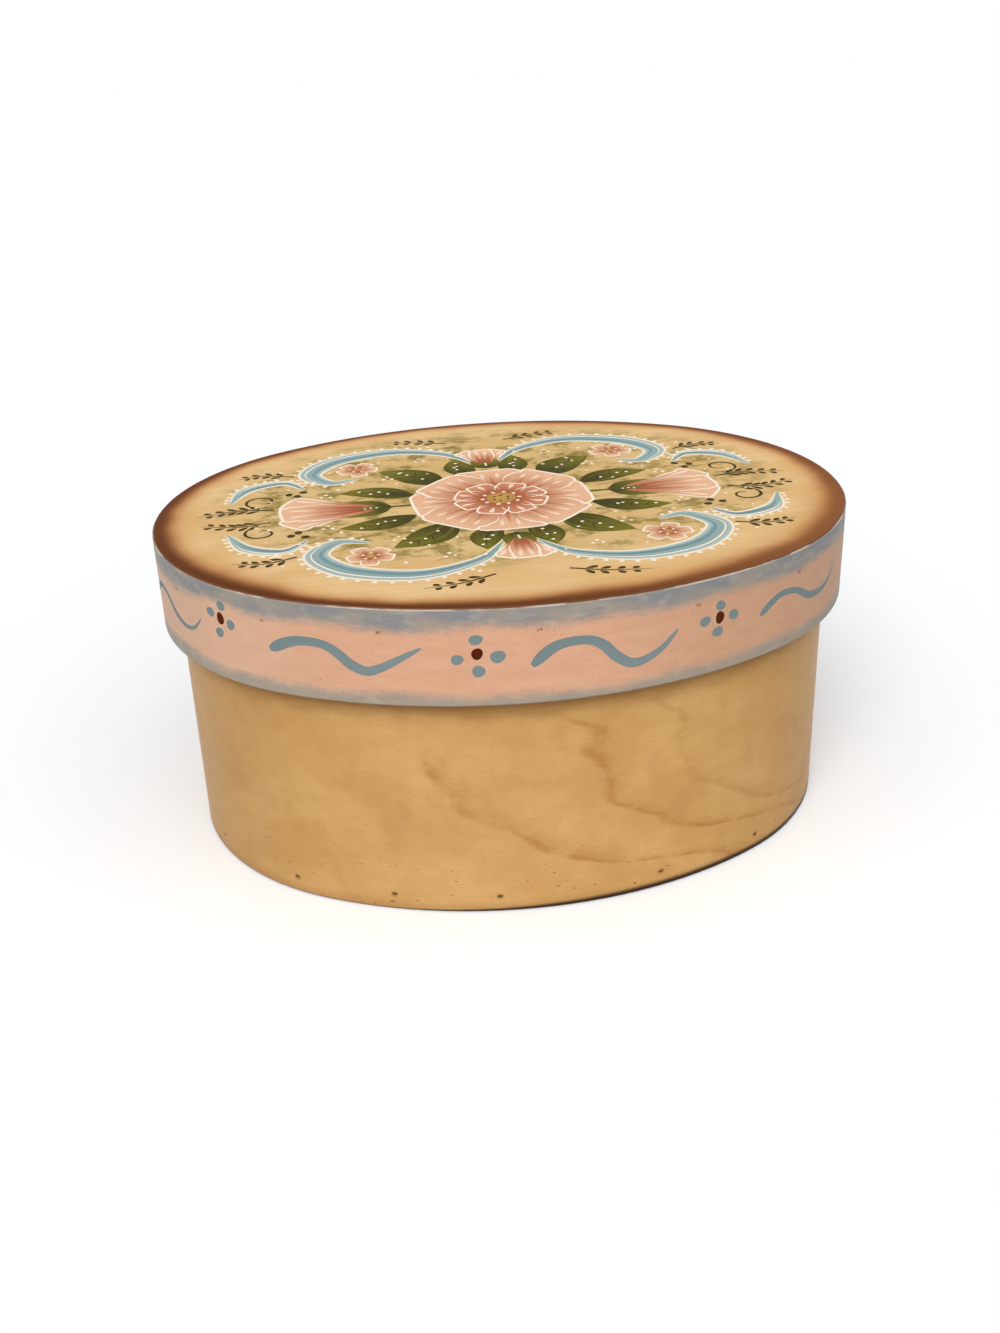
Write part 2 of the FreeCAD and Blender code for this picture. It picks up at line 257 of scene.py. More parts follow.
class Material(Tree):
    """A material with one Principled shader."""

    def __init__(self, name, roughness=0.45, specular=0.4, metallic=0.0):
        self.material = bpy.data.materials.new(name)
        self.material.use_nodes = True
        super().__init__(self.material.node_tree)
        self.tree.nodes.clear()
        self.shader = self.add("BsdfPrincipled")
        for socket, value in (("Roughness", roughness), ("Specular IOR Level", specular),
                              ("Metallic", metallic)):
            self.feed(self.shader.inputs[socket], value)
        self.add("OutputMaterial", (self.shader.outputs[0],))

    def band(self, group):
        return self.add("Group", node_tree=group).outputs

    def colour(self, value):
        self.feed(self.shader.inputs["Base Color"], value)

    def roughness(self, value):
        self.feed(self.shader.inputs["Roughness"], value)

    def bump(self, height, depth):
        """Relief of this depth, in millimetres, from a height of 0 to 1."""
        node = self.add("Bump")
        node.inputs["Strength"].default_value = 1.0
        node.inputs["Distance"].default_value = depth * MM
        self.feed(node.inputs["Height"], height)
        self.feed(self.shader.inputs["Normal"], node.outputs[0])

    def attribute(self, name):
        return self.add("Attribute", attribute_name=name).outputs["Fac"]


BARE_LIGHT = (226, 192, 142)
BARE_DARK = (203, 163, 112)


def bare_wood(m, x, y, z):
    """Unvarnished birch, with its grain along x."""
    streaks = m.patches((x, 40.0), (y, 1.6), (z, 5.0), 0.3, 0.7, detail=4.0)
    clouds = m.patches((x, 30.0), (y, 14.0), (z, 14.0), 0.35, 0.65)
    tone = m.plus(m.times(streaks, 0.6), m.times(clouds, 0.4))
    return m.mix(tone, BARE_DARK, BARE_LIGHT)


# The figure of the box band: level lines of one slope, which runs down from left to right
FIGURE_SLOPE = ((0.0, 0.95), (7.0, 0.80), (11.0, 0.585), (15.0, 0.43), (22.0, 0.31), (28.0, 0.20),
                (37.0, 0.145), (44.0, 0.10), (50.0, 0.11), (56.0, 0.03), (78.0, 0.0))
FIGURE_REACH = 100.0
FIGURE_PITCH = 30.0
FIGURE_FOLD = 95.0   # past this far round to either side, the figure runs back mirrored
FIGURE_WOBBLES = ((26.0, 0.5), (8.0, 0.20), (2.6, 0.08), (1.0, 0.04))    # size and depth
FIGURE_LINES = (     # place across the slope, strength, and the height where the line fades out
    (-1.3, 0.95, 50.0),
    (0.0, 1.0, 58.0),
    (0.78, 0.55, 60.0),
    (2.1, 0.4, 40.0))


def figure(m, run, height):
    """How dark the wood's figure is at this place on the band."""
    folded = m.minus(m.math("PINGPONG", m.plus(run, FIGURE_FOLD), 2 * FIGURE_FOLD), FIGURE_FOLD)
    slope = m.times(m.curve(height, FIGURE_SLOPE), FIGURE_REACH)
    field = m.over(m.minus(folded, slope), FIGURE_PITCH)
    for size, depth in FIGURE_WOBBLES:
        flat = min(size, 1.5 * size ** 0.7)
        wobble = m.noise(m.vector((run, size * 1.6), (height, flat), size), detail=1.0)
        field = m.plus(field, m.times(m.minus(wobble, 0.5), depth))
    dark = 0.0
    for line, strength, top in FIGURE_LINES:
        past = m.minus(field, line)
        core = m.rise(m.math("ABSOLUTE", past), 0.095, 0.0)
        shade = m.times(m.rise(past, 0.34, 0.0), m.rise(past, -0.12, 0.0))
        here = m.plus(m.times(core, 0.42), m.times(shade, 0.53))
        fade = m.rise(height, top, top - 6.0, 0.0, strength)
        dark = m.math("MAXIMUM", m.times(here, fade), dark)
    patchy = m.patches((run, 8.0), (height, 6.0), 3.0, 0.32, 0.62, detail=3.0)
    return m.times(dark, m.plus(m.times(patchy, 0.75), 0.25))


FRONT_BRADS = (-69.0, -41.0, -13.5, 30.0, 62.0)   # round the band's face, where rust has run
BRAD_LEVEL = 4.7


def varnished_birch():
    m = Material("varnished_birch", roughness=0.42, specular=0.08)
    run, out, height = m.band(BOX_PLACE)
    clouds = m.patches((run, 26.0), (height, 17.0), 0.0, 0.33, 0.67, detail=3.0)
    colour = m.mix(clouds, (215, 166, 102), (226, 180, 117))
    streaks = m.patches((run, 22.0), (height, 0.9), 7.0, 0.3, 0.7, detail=3.0)
    colour = m.mix(m.times(streaks, 0.13), colour, (198, 149, 86))
    mottle = m.patches((run, 5.0), (height, 4.0), 37.0, 0.35, 0.68, detail=4.0)
    colour = m.mix(m.times(mottle, 0.24), colour, (204, 152, 88))
    blush = m.patches((run, 15.0), (height, 21.0), 15.0, 0.52, 0.72)
    colour = m.mix(m.times(blush, 0.45), colour, (201, 147, 92))
    colour = m.mix(m.times(figure(m, run, height), 0.60), colour, (172, 113, 54))
    pores = m.patches((run, 1.5), (height, 0.28), 23.0, 0.63, 0.74, detail=1.0)
    colour = m.mix(m.times(pores, 0.35), colour, (158, 106, 56))
    flecks = m.patches((run, 2.4), (height, 0.7), 31.0, 0.73, 0.77, detail=1.0)
    low = m.rise(height, 26.0, 4.0)
    colour = m.mix(m.times(flecks, low), colour, (110, 66, 30))
    # Painted shade: the band grows darker towards both of its ends
    ends = m.rise(m.math("ABSOLUTE", run), 25.0, 95.0, 0.0, 0.28)
    colour = m.mix(ends, colour, (176, 130, 80))
    # Painted shade under the lid's overhang: a ragged darker band up to the lid's foot, weaker where
    # the lid covers the band
    ragged = m.noise(m.vector((run, 14.0), (height, 5.0), 45.0), detail=4.0)
    shade_under_lid = m.rise(m.plus(height, m.times(ragged, 9.0)), LID_FOOT - 3.6, LID_FOOT + 3.5, 0.0, 0.80)
    covered = m.rise(height, LID_FOOT + 0.6, LID_FOOT + 3.0, 0.0, 0.58)
    shade_under_lid = m.minus(shade_under_lid, covered)
    colour = m.mix(shade_under_lid, colour, (176, 128, 74))
    # Painted shade: darker towards the foot
    colour = m.mix(m.rise(height, 4.0, 0.5, 0.0, 0.35), colour, (158, 104, 56))
    for place in FRONT_BRADS:
        offset = m.vector(m.minus(run, place), m.minus(height, BRAD_LEVEL), 0.0)
        near = m.add("VectorMath", (offset,), operation="LENGTH").outputs["Value"]
        colour = m.mix(m.rise(near, 1.4, 0.5, 0.0, 0.42), colour, (140, 84, 42))
    # Painted shadow: a near-black line along the foot, tallest on the right of the front
    foot_shadow_reach = m.minus(m.rise(run, -50.0, 30.0, 0.9, 2.9), m.rise(run, 100.0, 190.0, 0.0, 2.0))
    colour = m.mix(m.rise(m.over(height, foot_shadow_reach), 0.85, 0.35, 0.0, 0.97), colour, (50, 36, 26))
    inside = m.rise(out, -0.7, -1.2)
    rim = m.rise(height, BOX_TOP - 0.8, BOX_TOP - 0.3)
    bare = m.math("MAXIMUM", inside, rim)
    colour = m.mix(bare, colour, bare_wood(m, run, height, out))
    m.colour(colour)
    m.roughness(m.blend(bare, m.rise(clouds, 0.0, 1.0, 0.34, 0.42), 0.62))
    m.bump(m.plus(m.times(streaks, 0.5), m.times(pores, -0.5)), 0.02)
    return m.material


def sawn_board():
    m = Material("sawn_board", roughness=0.65, specular=0.1)
    x, y, z = m.place()
    m.colour(bare_wood(m, x, y, z))
    m.bump(m.patches((x, 30.0), (y, 0.8), (z, 0.8), 0.3, 0.7), 0.03)
    return m.material


SALMON = (232, 180, 147)
SALMON_DEEP = (221, 165, 133)
# a lighter salmon, for painted light on the band's left
SALMON_PAINTED_LIGHT = (248, 204, 170)
GREY_BLUE = (131, 141, 146)
GREY_WARM = (160, 155, 145)
GREY_GREEN = (158, 158, 140)
GREY_PALE = (186, 185, 176)
# a tan, for painted shade on the band's right
TAN_SHADE = (184, 146, 110)


def band_ground(m, run, height):
    """The lid band's salmon ground, stippled blue-grey along both edges."""
    dabs = m.noise(m.vector((run, 7.0), (height, 3.5), 5.0), detail=4.0, roughness=0.62)
    fine = m.noise(m.vector((run, 1.3), (height, 0.8), 9.0), detail=2.0)
    wander = m.noise(m.vector((run, 24.0), 0.0, 4.0), detail=1.0)
    edge = m.plus(m.times(m.minus(dabs, 0.5), 3.6), m.times(m.minus(fine, 0.5), 2.0),
                  m.times(m.minus(wander, 0.5), 5.0))
    # Towards the two ends the stipple reaches further in from both edges
    aside = m.rise(m.math("ABSOLUTE", run), 35.0, 115.0, 0.0, 1.7)
    high = m.plus(height, edge, m.times(aside, 0.6))
    top = m.rise(high, LID_TOP - 7.1, LID_TOP - 2.9)
    low = m.minus(height, m.times(edge, 0.85), aside)
    bottom = m.rise(low, LID_FOOT + 4.7, LID_FOOT + 0.9)
    stipple = m.math("MAXIMUM", top, m.times(bottom, 0.9))
    stipple = m.math("MAXIMUM", stipple, m.times(aside, 0.11))
    tone = m.patches((run, 9.0), (height, 3.0), 12.0, 0.35, 0.65, detail=3.0)
    ground = m.mix(m.times(tone, 0.5), SALMON, SALMON_DEEP)
    # Painted shade: the ground is darker and duller to the right of the front
    shade_right = m.minus(m.rise(run, 5.0, 50.0, 0.0, 0.32), m.rise(run, 120.0, 190.0, 0.0, 0.32))
    ground = m.mix(shade_right, ground, TAN_SHADE)
    # Painted light: the ground is lighter to the left of the front
    light = m.minus(m.rise(run, -50.0, -90.0, 0.0, 0.5), m.rise(run, -120.0, -190.0, 0.0, 0.5))
    ground = m.mix(light, ground, SALMON_PAINTED_LIGHT)
    cool = m.patches((run, 11.0), (height, 4.0), 19.0, 0.35, 0.65, detail=4.0)
    shade = m.mix(cool, GREY_WARM, GREY_BLUE)
    shade = m.mix(m.rise(height, LID_FOOT + 5.0, LID_FOOT + 1.0, 0.0, 0.6), shade, GREY_GREEN)
    film = m.patches((run, 5.0), (height, 2.2), 71.0, 0.50, 0.70, detail=4.0)
    shade = m.mix(m.times(film, 0.40), shade, GREY_PALE)
    colour = m.mix(m.times(stipple, 0.92), ground, shade)
    speckle = m.patches((run, 0.8), (height, 0.6), 27.0, 0.38, 0.66, detail=2.0)
    return m.mix(m.times(speckle, 0.10), colour, (176, 140, 122))


def painted_band():
    m = Material("painted_band", roughness=0.5, specular=0.08)
    run, out, height = m.band(LID_PLACE)
    colour = band_ground(m, run, height)
    facing = m.add("SeparateXYZ", (m.add("NewGeometry").outputs["True Normal"],)).outputs[2]
    lap_top = m.times(m.rise(facing, 0.8, 0.9), m.rise(height, LID_TOP - 3.0, LID_TOP - 2.0))
    brown = m.math("MAXIMUM", m.rise(height, LID_TOP - 0.42, LID_TOP - 0.28), lap_top)
    colour = m.mix(brown, colour, (112, 68, 40))
    # Pale chips on the band's top bevel: partly worn paint, partly a painted highlight along the edge
    wear_and_edge_highlight = m.patches((run, 9.0), (height, 2.0), 41.0, 0.46, 0.62, detail=6.0)
    edge = m.times(m.rise(height, LID_TOP - 0.65, LID_TOP - 0.45),
                   m.rise(height, LID_TOP - 0.15, LID_TOP - 0.3))
    colour = m.mix(m.times(wear_and_edge_highlight, edge, 0.6), colour, (212, 200, 186))
    scuffs = m.patches((run, 1.6), (height, 1.1), 53.0, 0.74, 0.78, detail=2.0)
    colour = m.mix(m.times(scuffs, 0.55), colour, (150, 108, 84))
    bare = m.rise(out, -0.9, -1.4)
    colour = m.mix(bare, colour, bare_wood(m, run, height, out))
    m.colour(colour)
    m.roughness(m.rise(bare, 0.0, 1.0, 0.46, 0.62))
    m.bump(m.noise(m.vector((run, 0.9), (height, 0.5)), detail=3.0), 0.015)
    return m.material


# How far the rim's brown reaches inwards, by the distance round from the middle of the front, and how
# deep its colour is there. The left end and the front's left half are the darkest.
RIM_REACH = (
    (-271.0, 0.62), (-215.0, 0.66), (-165.0, 0.85), (-135.0, 1.0), (-100.0, 1.10), (-78.0, 1.20),
    (-55.0, 0.75), (-32.0, 0.77), (-16.0, 0.91), (0.0, 1.05), (14.0, 1.07), (29.0, 1.00), (44.0, 1.03),
    (61.0, 1.18), (95.0, 1.10), (135.0, 0.98), (175.0, 0.82), (225.0, 0.66), (271.0, 0.62))
RIM_DEPTH = ((-271.0, 0.85), (-150.0, 0.95), (-60.0, 1.0), (10.0, 0.92), (50.0, 0.70), (110.0, 0.55),
             (150.0, 0.72), (200.0, 0.85), (271.0, 0.85))


def painted_top():
    """The wash on the lid: pale wood sponged with olive where the flowers lie, and its rim shaded
    brown."""
    m = Material("painted_top", roughness=0.5, specular=0.02)
    run, out, _ = m.band(LID_PLACE)
    x, y, _ = m.place()
    grain = m.patches((x, 45.0), (y, 1.5), 2.0, 0.3, 0.7, detail=4.0)
    clouds = m.patches((x, 34.0), (y, 18.0), 6.0, 0.35, 0.65)
    colour = m.mix(clouds, (226, 185, 127), (236, 200, 147))
    colour = m.mix(m.times(grain, 0.22), colour, (210, 162, 100))
    # Round the flowers the wash is olive
    back = m.minus(m.over(y, 56.0), 0.14)
    reach = m.plus(m.math("POWER", m.over(x, 76.0), 2.0), m.math("POWER", back, 2.0))
    near = m.rise(reach, 1.35, 0.62)
    colour = m.mix(m.times(near, 0.36), colour, (200, 172, 108))
    sponge = m.patches((x, 11.0), (y, 8.0), 17.0, 0.46, 0.61, detail=5.0, roughness=0.72)
    colour = m.mix(m.times(near, sponge, 0.90), colour, (136, 119, 54))
    # The rim's brown fades inwards
    inward = m.times(out, -1.0)
    blur = m.noise(m.vector((x, 15.0), (y, 15.0), 3.0), detail=3.0)
    reach = m.times(m.curve(run, RIM_REACH), m.plus(blur, 1.15))
    deep = m.curve(run, RIM_DEPTH)
    depth = m.over(inward, m.math("MAXIMUM", reach, 0.2))
    colour = m.mix(m.rise(depth, 8.0, 3.0, 0.0, 0.62), colour, (206, 148, 92))
    colour = m.mix(m.rise(depth, 5.2, 1.9, 0.0, 0.86), colour, (162, 100, 54))
    colour = m.mix(m.times(m.rise(depth, 3.6, 1.1, 0.0, 0.95), deep), colour, (92, 46, 16))
    m.colour(colour)
    m.bump(m.plus(m.times(grain, 0.5), m.times(sponge, 0.5)), 0.012)
    return m.material


def rusty_steel():
    m = Material("rusty_steel", roughness=0.5, metallic=0.65)
    x, y, z = m.place()
    rust = m.patches((x, 0.6), (y, 0.6), (z, 0.6), 0.35, 0.6, detail=3.0)
    m.colour(m.mix(rust, (132, 120, 106), (96, 60, 34)))
    m.roughness(m.rise(rust, 0.0, 1.0, 0.38, 0.75))
    return m.material


def painted_steel():
    """The lid's brads and tacks, which the band's paint runs over."""
    m = Material("painted_steel", roughness=0.5, specular=0.12)
    run, _, height = m.band(LID_PLACE)
    colour = band_ground(m, run, height)
    thin = m.patches((run, 0.7), (height, 0.5), 61.0, 0.4, 0.6, detail=2.0)
    m.colour(m.mix(m.times(thin, 0.55), colour, (122, 84, 60)))
    return m.material


def brush_paint(name, base, tip, edge, streak, edge_share=0.4):
    """Paint laid down by a brush: from base to tip along the stroke, with an edge colour towards
    its two sides and bristle marks in a streak colour."""
    m = Material(name, roughness=0.5, specular=0.03)
    along, across, tone = (m.attribute(part) for part in ("along", "across", "tone"))
    colour = m.mix(m.rise(along, 0.10, 0.95), base, tip)
    sides = m.rise(m.math("ABSOLUTE", across), 0.45, 1.0, 0.0, edge_share)
    colour = m.mix(sides, colour, edge)
    seed = m.times(tone, 40.0)
    place = m.vector(m.times(along, 1.6), m.times(across, 3.2), seed)
    marks = m.noise(place, detail=3.0, roughness=0.6)
    colour = m.mix(m.rise(marks, 0.50, 0.72, 0.0, 0.55), colour, streak)
    m.colour(colour)
    m.bump(marks, 0.02)
    return m.material


# Brush strokes: thin closed ribbons and dots of paint

def bend(points, count):
    """A smooth line of count points through a few given ones."""
    through = [Vector(point) for point in points]
    ends = [2 * through[0] - through[1], *through, 2 * through[-1] - through[-2]]
    line = []
    spans = len(points) - 1
    for number in range(count):
        place = number / (count - 1) * spans
        span = min(int(place), spans - 1)
        t = place - span
        a, b, c, d = ends[span:span + 4]
        line.append(0.5 * (2 * b + (c - a) * t + (2 * a - 5 * b + 4 * c - d) * t ** 2
                           + (3 * b - a - 3 * c + d) * t ** 3))
    return line


def taper(shape, count):
    """Half widths read off a few, evenly spaced along the stroke, with its ends rounded."""
    widths = [point[0] for point in bend([(value, 0.0) for value in shape], count)]
    return [max(width, 0.03) for width in widths]


def on_top(x, y, lift):
    return Vector((x, y, LID_TOP + lift)) * MM


def lap_rise(run):
    """How far the lid band's lap stands over its oval, this far round."""
    x, y = LID.at(run)
    if y < 0 or abs(x) > LAP_HALF:
        return 0.0
    share = (x + LAP_HALF) / (2 * LAP_HALF)
    return max(LAP_RISE[0] + (LAP_RISE[1] - LAP_RISE[0]) * share, 0.0)


def on_band(run, height, lift):
    x, y = LID.at(run, lift + lap_rise(run))
    return Vector((x, y, height)) * MM


def left_of(line, number):
    """The direction square to the line at this point, on its left."""
    ahead = line[min(number + 1, len(line) - 1)] - line[max(number - 1, 0)]
    return Vector((-ahead.y, ahead.x)).normalized()


def jog(amount):
    """A hand's small error."""
    return chance.uniform(-amount, amount)


def placed(name, data):
    """A new object in the scene."""
    made = bpy.data.objects.new(name, data)
    scene.collection.objects.link(made)
    return made


def build(name, mesh, material):
    """The object of this mesh, in this material."""
    data = bpy.data.meshes.new(name)
    mesh.to_mesh(data)
    mesh.free()
    data.materials.append(material)
    return placed(name, data)


def paint_lid(name, mesh, material):
    bmesh.ops.recalc_face_normals(mesh, faces=mesh.faces)
    piece = build(name, mesh, material)
    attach(piece, "lid")


STROKE_ORDER = itertools.cycle(range(37))    # the order of neighbours on one coat
STROKE_STEP = 1 / 40                         # of a coat, between two of these


class Paint:
    """One colour's strokes, collected into one mesh."""

    def __init__(self, name, canvas, material):
        self.name, self.canvas, self.material = name, canvas, material
        self.mesh = bmesh.new()
        layers = self.mesh.verts.layers.float
        self.along = layers.new("along")
        self.across = layers.new("across")
        self.tone = layers.new("tone")

    def point(self, place, lift, along, across, tone):
        vertex = self.mesh.verts.new(self.canvas(place[0], place[1], lift))
        vertex[self.along], vertex[self.across], vertex[self.tone] = along, across, tone
        return vertex

    def lift(self, coat):
        """The height of a stroke on this coat: a hair over or under its neighbours on the coat, so
        that strokes which cross never share a face."""
        return FILM * (coat + next(STROKE_ORDER) * STROKE_STEP)

    def ribbon(self, line, widths, coat):
        """A stroke along the line. Its coat says how many coats of paint it lies over."""
        tone = chance.random()
        top = self.lift(coat)
        rows = []
        for number, place in enumerate(line):
            side = left_of(line, number) * widths[number]
            share = number / (len(line) - 1)
            rows.append([
                self.point(place + side, -SINK, share, -1.0, tone),
                self.point(place + side, top, share, -1.0, tone),
                self.point(place, top, share, 0.0, tone),
                self.point(place - side, top, share, 1.0, tone),
                self.point(place - side, -SINK, share, 1.0, tone)])
        for first, second in zip(rows, rows[1:]):
            for number in range(5):
                after = (number + 1) % 5
                self.mesh.faces.new((first[number], first[after], second[after], second[number]))
        self.mesh.faces.new(rows[0][::-1])
        self.mesh.faces.new(rows[-1])

    def stroke(self, points, shape, coat, count):
        self.ribbon(bend(points, count), taper(shape, count), coat)

    def dot(self, x, y, radius, coat, stretch=1.0):
        tone = chance.random()
        spin = chance.uniform(0, math.tau)
        top = self.lift(coat)
        sides = 14
        ring = []
        for number in range(sides):
            angle = number / sides * math.tau
            reach = radius * (1 + 0.06 * math.sin(2 * angle + spin) + 0.04 * math.sin(3 * angle - spin))
            place = (x + reach * stretch * math.cos(angle), y + reach * math.sin(angle))
            ring.append((self.point(place, top, 0.5, 1.0, tone),
                         self.point(place, -SINK, 0.5, 1.0, tone)))
        middle = self.point((x, y), top, 0.5, 0.0, tone)
        for (first, first_foot), (second, second_foot) in zip(ring, ring[1:] + ring[:1]):
            self.mesh.faces.new((middle, first, second))
            self.mesh.faces.new((first, first_foot, second_foot, second))
        self.mesh.faces.new([foot for _, foot in ring][::-1])

    def finish(self, slot):
        paint_lid(self.name, self.mesh, self.material)


# The lid band's strokes and dot flowers. Places round the band are listed below.
FLOWERS = (-136.3, -83.8, -17.2, 43.8, 110.2, 176.6, 243.0, 300.9, 353.5)
FLOWER_LEVEL = 76.4
FLOWER_LEVELS = {-83.8: 78.8, -17.2: 76.0, 43.8: 76.6}
FLOWER_DOTS = {      # the left, right, upper and lower dot: aside, up, half height, stretch
    -83.8: ((-3.6, 0.9, 1.3, 1.1), (3.4, -0.9, 1.3, 1.1), (0.6, 3.5, 1.25, 1.2),
            (-0.9, -3.9, 1.3, 1.1)),
    -17.2: ((-4.7, -1.4, 1.25, 1.25), (4.8, -0.9, 1.6, 1.15), (-0.2, 3.6, 1.3, 1.3),
            (0.2, -4.5, 1.45, 1.15)),
    43.8: ((-4.3, -0.1, 1.35, 1.15), (4.2, -0.2, 1.4, 1.1), (0.1, 3.1, 1.25, 1.2),
           (-0.5, -3.6, 1.35, 1.15)),
}
USUAL_DOTS = ((-4.5, -0.4, 1.35, 1.15), (4.5, -0.5, 1.4, 1.2), (0.1, 3.5, 1.25, 1.25),
              (-0.2, -4.0, 1.4, 1.12))
WAVE_SHARES = (0.0, 0.11, 0.22, 0.37, 0.47, 0.55, 0.65, 0.75, 0.88, 1.0)
WAVE_GAPS = (12.8, 11.5)    # from the flower before a stroke, and to the one after it
WAVE = (73.4, 76.0, 77.5, 77.3, 75.4, 72.8, 71.2, 71.4, 73.4, 76.9)
WAVES = {   # from, to, heights at the shares above
    -83.8: (-68.6, -30.2, (74.0, 76.2, 77.4, 77.2, 75.2, 72.6, 71.1, 72.3, 75.0, 77.6)),
    -17.2: (-4.4, 32.0, (72.2, 75.8, 77.4, 77.4, 75.6, 72.5, 70.0, 70.0, 72.2, 76.4)),
    43.8: (56.8, 92.0, (73.6, 76.1, 77.4, 76.7, 74.8, 73.4, 72.7, 72.6, 73.8, 77.0)),
    -136.3: (-124.0, -91.9, (74.0, 76.6, 77.7, 77.2, 75.6, 73.9, 72.6, 72.0, 73.0, 76.5)),
}
WAVE_WIDTHS = (1.35, 1.4, 1.2, 1.15, 1.3, 1.35, 1.25, 1.05, 0.8, 0.35)
THIN_WAVES = {43.8: 0.72, -136.3: 0.6}    # these two were painted with less pressure


def wave(paint, start, end, heights, weight=1.0):
    points = [(start + (end - start) * share, height)
              for share, height in zip(WAVE_SHARES, heights)]
    count = 44
    widths = taper([width * weight for width in WAVE_WIDTHS], count)
    for number, share in enumerate((0.45, 0.8, 0.95)):
        widths[number] *= share
    widths[-1] *= 0.4
    paint.ribbon(bend(points, count), widths, 2)


def dot_flower(petals, hearts, run, height):
    stray = 0.0 if run in FLOWER_DOTS else 0.5
    for aside, up, radius, stretch in FLOWER_DOTS.get(run, USUAL_DOTS):
        petals.dot(run + aside + jog(stray), height + up + jog(stray), radius, 2, stretch)
    hearts.dot(run, height, 1.55, 3, 0.86)


def band_ornament():
    blue = Paint("band_strokes", on_band, brush_paint(
        "band_blue", (125, 141, 142), (134, 147, 148), (122, 138, 140), (142, 152, 152), 0.3))
    hearts = Paint("band_flower_hearts", on_band, brush_paint(
        "heart_brown", (84, 34, 14), (90, 38, 16), (72, 26, 10), (98, 44, 20)))
    whole = 4 * LID.quarter
    for number, run in enumerate(FLOWERS):
        after = FLOWERS[(number + 1) % len(FLOWERS)]
        height = FLOWER_LEVELS.get(run, FLOWER_LEVEL + jog(1.0))
        dot_flower(blue, hearts, run, height)
        drift = jog(0.8)
        usual = (run + WAVE_GAPS[0], (after if after > run else after + whole) - WAVE_GAPS[1],
                 [value + drift for value in WAVE])
        wave(blue, *WAVES.get(run, usual), weight=THIN_WAVES.get(run, 1.0))
    blue.finish("painted_band")
    hearts.finish("painted_band")


# The lid's flower design, the same in each quarter but for the hand's small errors

def around(angle, length, aside=0.0, centre=(0.0, 0.0)):
    """A point this far out from the centre in this direction, in degrees, and this far aside."""
    turn = math.radians(angle)
    return (centre[0] + length * math.cos(turn) - aside * math.sin(turn),
            centre[1] + length * math.sin(turn) + aside * math.cos(turn))


def spoke(centre, angle, size, *places):
    """Points of a flower: how far out from its centre in this direction and how far aside, both as
    shares of its size."""
    return [around(angle, size * reach, size * aside, centre) for reach, aside in places]


PETAL_SHAPE = (0.25, 0.55, 0.82, 0.98, 1.0, 0.86, 0.05)
LID_PAINTS = {       # piece, material, base, tip, edge and streak colours, and the edge's share
    "pink": ("lid_petals", "petal_pink", (176, 106, 68), (233, 183, 147), (227, 171, 133),
             (242, 203, 170)),
    "pale": ("lid_petal_lights", "petal_light", (250, 220, 192), (241, 198, 166), (241, 202, 170),
             (254, 232, 210)),
    "deep": ("lid_petal_shades", "petal_shade", (160, 84, 50), (206, 138, 104), (196, 120, 86),
             (180, 102, 66)),
    "olive": ("lid_leaves", "leaf_olive", (58, 54, 4), (116, 110, 26), (62, 58, 6),
              (138, 130, 44), 0.6),
    "blue": ("lid_scrolls", "scroll_blue", (132, 158, 160), (150, 173, 171), (196, 209, 200),
             (178, 196, 189), 0.85),
    "blue_shade": ("lid_scroll_shades", "scroll_shade", (104, 136, 142), (122, 152, 156),
                   (128, 157, 160), (140, 166, 165)),
    "white": ("lid_white_lines", "line_white", (252, 238, 218), (248, 230, 206), (246, 226, 200),
              (255, 246, 230)),
    "dark": ("lid_tendrils", "tendril_dark", (56, 42, 4), (70, 54, 8), (50, 38, 3), (80, 62, 12)),
    "ochre": ("lid_flower_hearts", "heart_ochre", (176, 128, 58), (214, 168, 92), (150, 100, 44),
              (228, 190, 118)),
}


